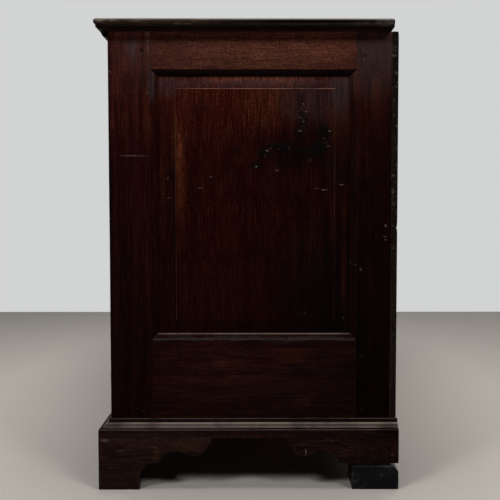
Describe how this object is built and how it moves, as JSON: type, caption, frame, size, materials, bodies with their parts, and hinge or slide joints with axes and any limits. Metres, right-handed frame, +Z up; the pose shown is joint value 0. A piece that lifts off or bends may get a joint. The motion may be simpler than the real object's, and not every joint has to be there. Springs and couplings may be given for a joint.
{
  "type": "mule chest",
  "caption": "Lift-top oak coffer with framed and fielded panels over a row of drawers, on a moulded plinth with bracket feet.",
  "frame": {"origin": "on the floor, under the middle of the whole chest's box", "axes": "+X along the length, to the right of someone facing the drawers; +Y from the front to the back; +Z up"},
  "size_m": [1.3, 0.561, 0.87],
  "materials": {
    "dark_oak": "semi-gloss wax over old dark stain",
    "panel_oak": "semi-gloss wax over old dark stain",
    "unfinished_oak": "dry, unfinished, dusty",
    "blackened_block": "dull black stain",
    "wrought_iron": "blackened, waxed",
    "brass": "aged, hand-rubbed"
  },
  "bodies": {
    "root": {"post_front_right": "dark_oak", "post_front_left": "dark_oak", "post_back_right": "dark_oak", "post_back_left": "dark_oak", "end_top_rail_right": "dark_oak", "end_top_rail_left": "dark_oak", "end_bottom_rail_right": "dark_oak", "end_bottom_rail_left": "dark_oak", "front_top_rail": "dark_oak", "front_middle_rail": "dark_oak", "front_bottom_rail": "dark_oak", "front_muntin_left": "dark_oak", "front_muntin_right": "dark_oak", "drawer_divider": "dark_oak", "base_moulding_front": "dark_oak", "base_moulding_right": "dark_oak", "base_moulding_left": "dark_oak", "cornice_moulding": "dark_oak", "foot_bracket_front_right": "dark_oak", "foot_bracket_front_left": "dark_oak", "foot_bracket_side_right": "dark_oak", "foot_bracket_side_left": "dark_oak", "foot_bracket_back_left": "dark_oak", "foot_bracket_back_right": "dark_oak", "end_panel_right": "panel_oak", "end_panel_left": "panel_oak", "front_panel_left": "panel_oak", "front_panel_middle": "panel_oak", "front_panel_right": "panel_oak", "back_top_rail": "unfinished_oak", "back_board_upper": "unfinished_oak", "back_board_lower": "unfinished_oak", "coffer_floor": "unfinished_oak", "drawer_runner_right": "unfinished_oak", "drawer_runner_left": "unfinished_oak", "drawer_runner_middle": "unfinished_oak", "foot_repair_block": "blackened_block", "hinge_leaf_right": "wrought_iron", "hinge_leaf_left": "wrought_iron"},
    "lid": {"lid": "dark_oak", "lid_strap_right": "wrought_iron", "lid_strap_left": "wrought_iron"},
    "drawer_right": {"drawer_right_front": "dark_oak", "drawer_right_side_inner": "unfinished_oak", "drawer_right_side_outer": "unfinished_oak", "drawer_right_back": "unfinished_oak", "drawer_right_bottom": "unfinished_oak", "handle_plate_right_inner": "brass", "handle_plate_right_outer": "brass"},
    "drawer_left": {"drawer_left_front": "dark_oak", "drawer_left_side_inner": "unfinished_oak", "drawer_left_side_outer": "unfinished_oak", "drawer_left_back": "unfinished_oak", "drawer_left_bottom": "unfinished_oak", "handle_plate_left_inner": "brass", "handle_plate_left_outer": "brass"},
    "bail_right_inner": {"handle_bail_right_inner": "brass"},
    "bail_right_outer": {"handle_bail_right_outer": "brass"},
    "bail_left_inner": {"handle_bail_left_inner": "brass"},
    "bail_left_outer": {"handle_bail_left_outer": "brass"}
  },
  "joints": [
    {"name": "lid_hinge", "type": "hinge", "parent": "root", "child": "lid", "pos_m": [0, 0.2713, 0.8484], "axis": [-1, 0, 0], "range_deg": [0, 95]},
    {"name": "drawer_right_slide", "type": "slide", "parent": "root", "child": "drawer_right", "axis": [0, -1, 0], "range_m": [0, 0.33]},
    {"name": "drawer_left_slide", "type": "slide", "parent": "root", "child": "drawer_left", "axis": [0, -1, 0], "range_m": [0, 0.33]},
    {"name": "bail_right_inner_swing", "type": "hinge", "parent": "drawer_right", "child": "bail_right_inner", "pos_m": [0.14301, -0.271, 0.214], "axis": [-1, 0, 0], "range_deg": [0, 85]},
    {"name": "bail_right_outer_swing", "type": "hinge", "parent": "drawer_right", "child": "bail_right_outer", "pos_m": [0.45099, -0.271, 0.214], "axis": [-1, 0, 0], "range_deg": [0, 85]},
    {"name": "bail_left_inner_swing", "type": "hinge", "parent": "drawer_left", "child": "bail_left_inner", "pos_m": [-0.14301, -0.271, 0.214], "axis": [-1, 0, 0], "range_deg": [0, 85]},
    {"name": "bail_left_outer_swing", "type": "hinge", "parent": "drawer_left", "child": "bail_left_outer", "pos_m": [-0.45099, -0.271, 0.214], "axis": [-1, 0, 0], "range_deg": [0, 85]}
  ]
}
